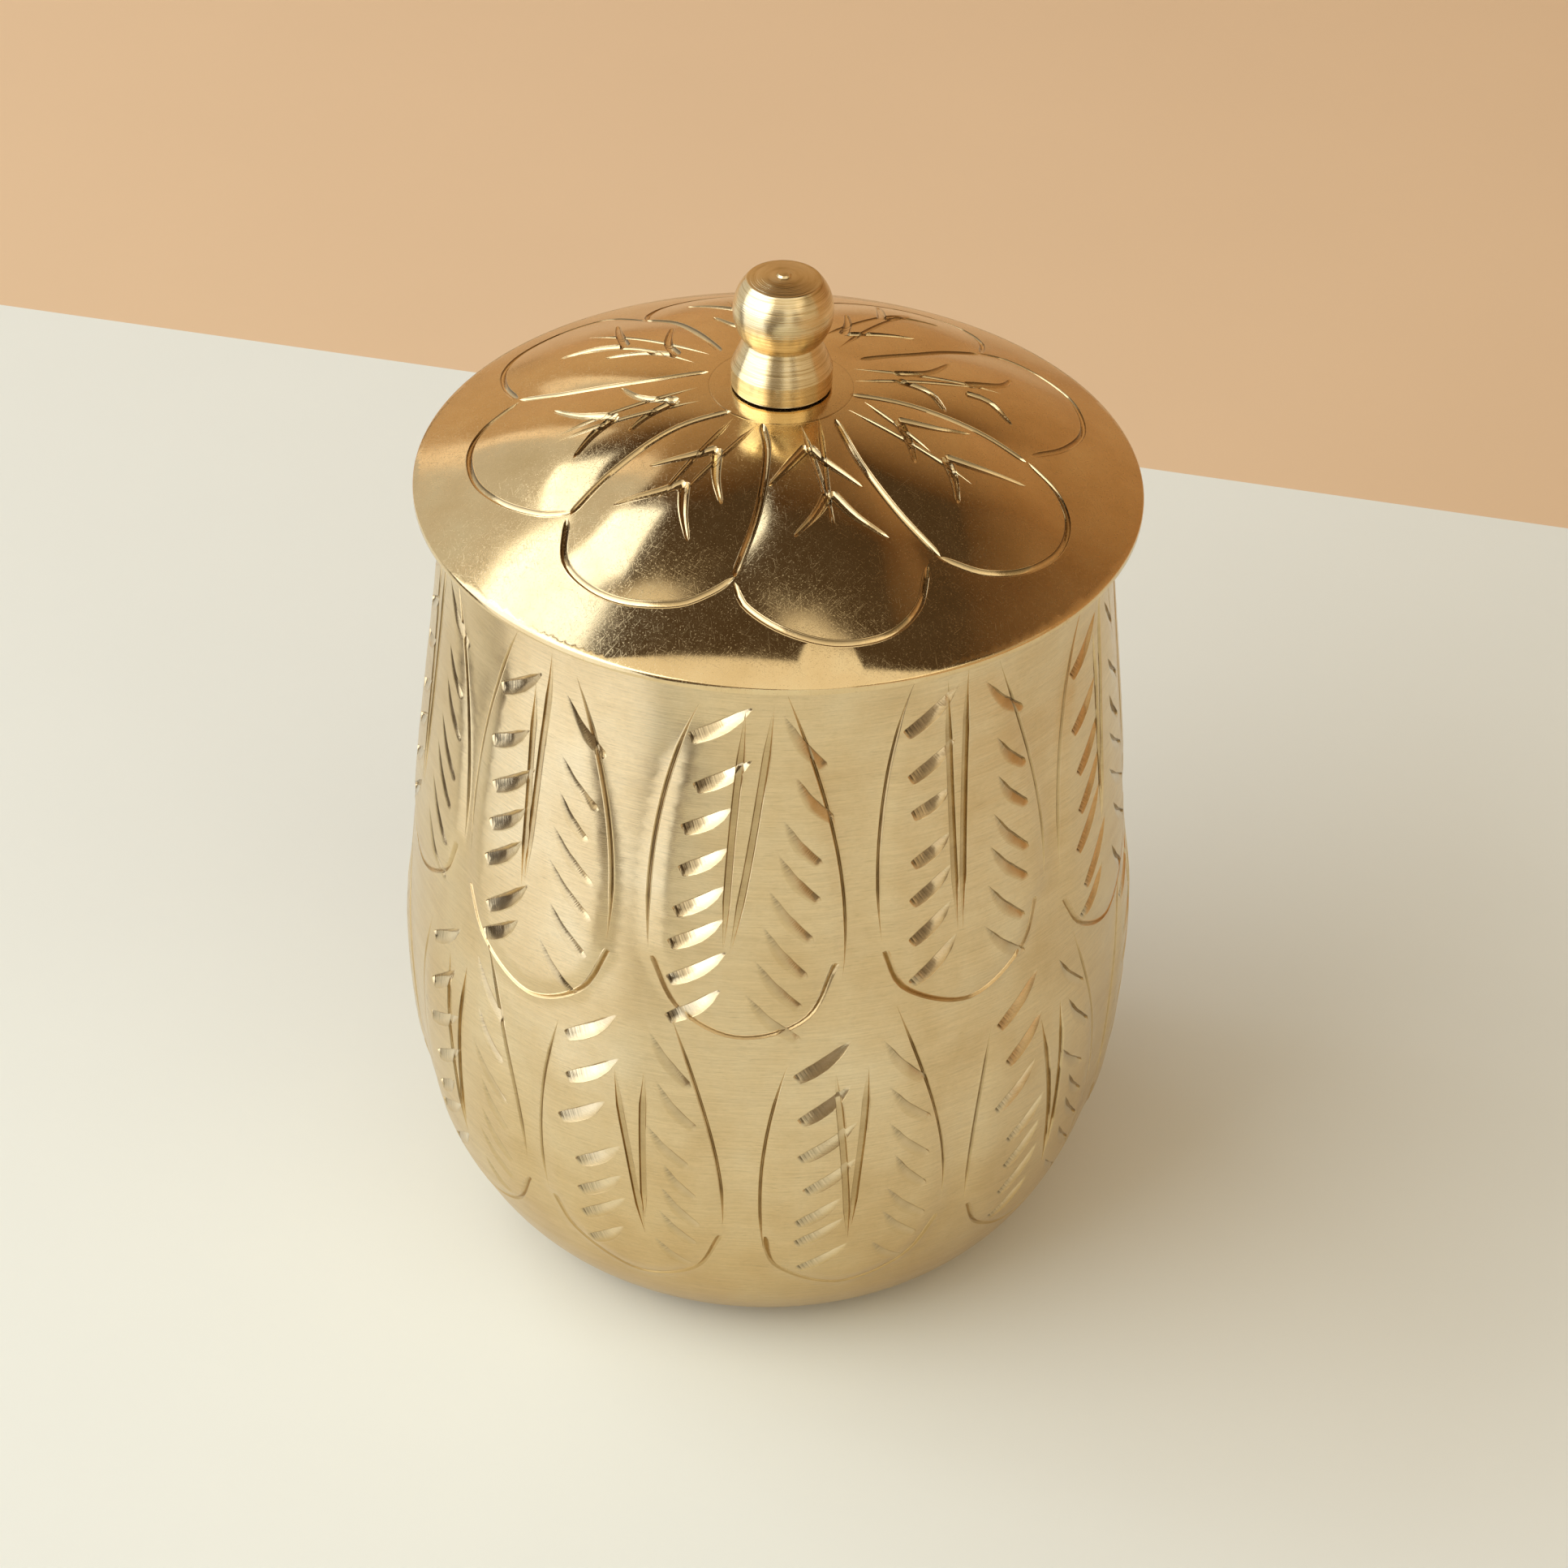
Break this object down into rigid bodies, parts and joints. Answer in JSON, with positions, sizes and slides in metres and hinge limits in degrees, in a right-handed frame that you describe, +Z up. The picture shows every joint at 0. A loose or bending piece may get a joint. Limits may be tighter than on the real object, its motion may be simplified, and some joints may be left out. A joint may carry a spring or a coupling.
{
  "type": "lidded metal jar",
  "caption": "Round-bellied sheet-metal jar that stands on a foot ring and holds small goods under a lift-off domed lid with a turned knob.",
  "frame": {"origin": "middle of the foot ring, on the surface that the jar stands on", "axes": "+Z up along the jar's axis, -Y towards the side that faces the viewer"},
  "size_m": [0.1058, 0.1054, 0.155],
  "materials": {
    "satin_gold_aluminium": "satin brushed, gold-coloured",
    "polished_gold_aluminium": "polished, gold-coloured",
    "turned_gold_aluminium": "turned, pale gold-coloured",
    "zinc_plated_steel": "zinc plated"
  },
  "bodies": {
    "jar": {"jar_body": "satin_gold_aluminium"},
    "lid": {"lid_shell": "polished_gold_aluminium", "lid_locating_ring": "polished_gold_aluminium", "knob": "turned_gold_aluminium", "knob_screw": "zinc_plated_steel", "screw_washer": "zinc_plated_steel"}
  },
  "joints": [
    {"name": "lid_lift", "type": "slide", "parent": "jar", "child": "lid", "axis": [0, 0, 1], "range_m": [0, 0.06]}
  ]
}
